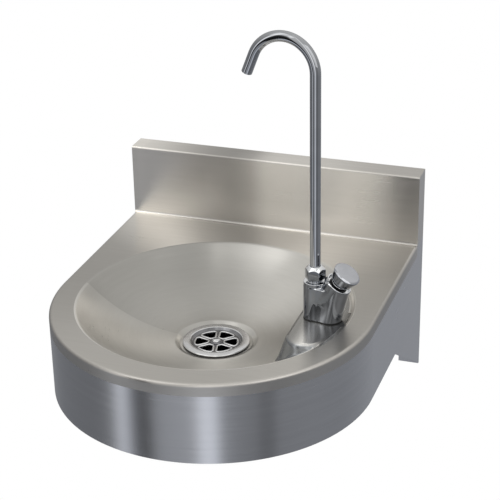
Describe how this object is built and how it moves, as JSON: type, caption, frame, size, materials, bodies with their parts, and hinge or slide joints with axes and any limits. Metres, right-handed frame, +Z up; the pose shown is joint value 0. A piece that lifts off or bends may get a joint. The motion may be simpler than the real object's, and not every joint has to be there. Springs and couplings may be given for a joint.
{
  "type": "bottle filling station",
  "caption": "Wall-mounted drinking-water basin with a tall swan-neck bottle filler, angled push-button valve, round bowl with grid waste and low splashback.",
  "frame": {"origin": "on the wall plane, midway between the two upper wall-fixing holes of the hanger", "axes": "+X to the right seen from the front, +Y into the wall, +Z up; the object lies at negative Y"},
  "size_m": [0.312, 0.36, 0.4195],
  "materials": {
    "satin_steel": "satin, brushed",
    "apron_steel": "satin, brushed",
    "zinc_steel": "zinc plated",
    "bright_steel": "polished",
    "chrome": "polished",
    "brass": "machined",
    "rubber": "matt",
    "fibre": "matt",
    "white_plastic": "moulded",
    "black_plastic": "moulded"
  },
  "bodies": {
    "basin": {"basin_top": "satin_steel", "apron": "apron_steel", "splashback": "satin_steel", "wall_hanger": "zinc_steel", "landing_stiffener": "zinc_steel", "waste_grid": "bright_steel", "centre_screw": "bright_steel", "flange_seal": "rubber", "body_seal": "rubber", "waste_body": "white_plastic", "screw_insert": "brass", "tap_body": "chrome", "base_gasket": "rubber", "inlet_shank": "brass", "shank_seal": "fibre", "inlet_filter": "white_plastic", "clamp_washer_rubber": "rubber", "clamp_washer_steel": "zinc_steel", "back_nut": "brass", "valve_guide": "black_plastic", "guide_seal": "rubber", "return_spring": "zinc_steel", "gland_nut": "chrome", "thrust_washer": "white_plastic"},
    "spout": {"swan_neck": "chrome", "spout_bush": "brass", "spout_seal": "rubber"},
    "button": {"button_cap": "chrome", "valve_spindle": "brass", "valve_washer": "rubber", "washer_nut": "brass"}
  },
  "joints": [
    {"name": "spout_swivel", "type": "hinge", "parent": "basin", "child": "spout", "pos_m": [0.09907, -0.19946, 0], "axis": [0, 0, 1], "continuous": true},
    {"name": "button_press", "type": "slide", "parent": "basin", "child": "button", "axis": [-0.5466, 0.0768, -0.8339], "range_m": [0, 0.0045], "stiffness_N_per_m": 1500, "springref_m": -0.002, "deforming": ["return_spring"]}
  ]
}
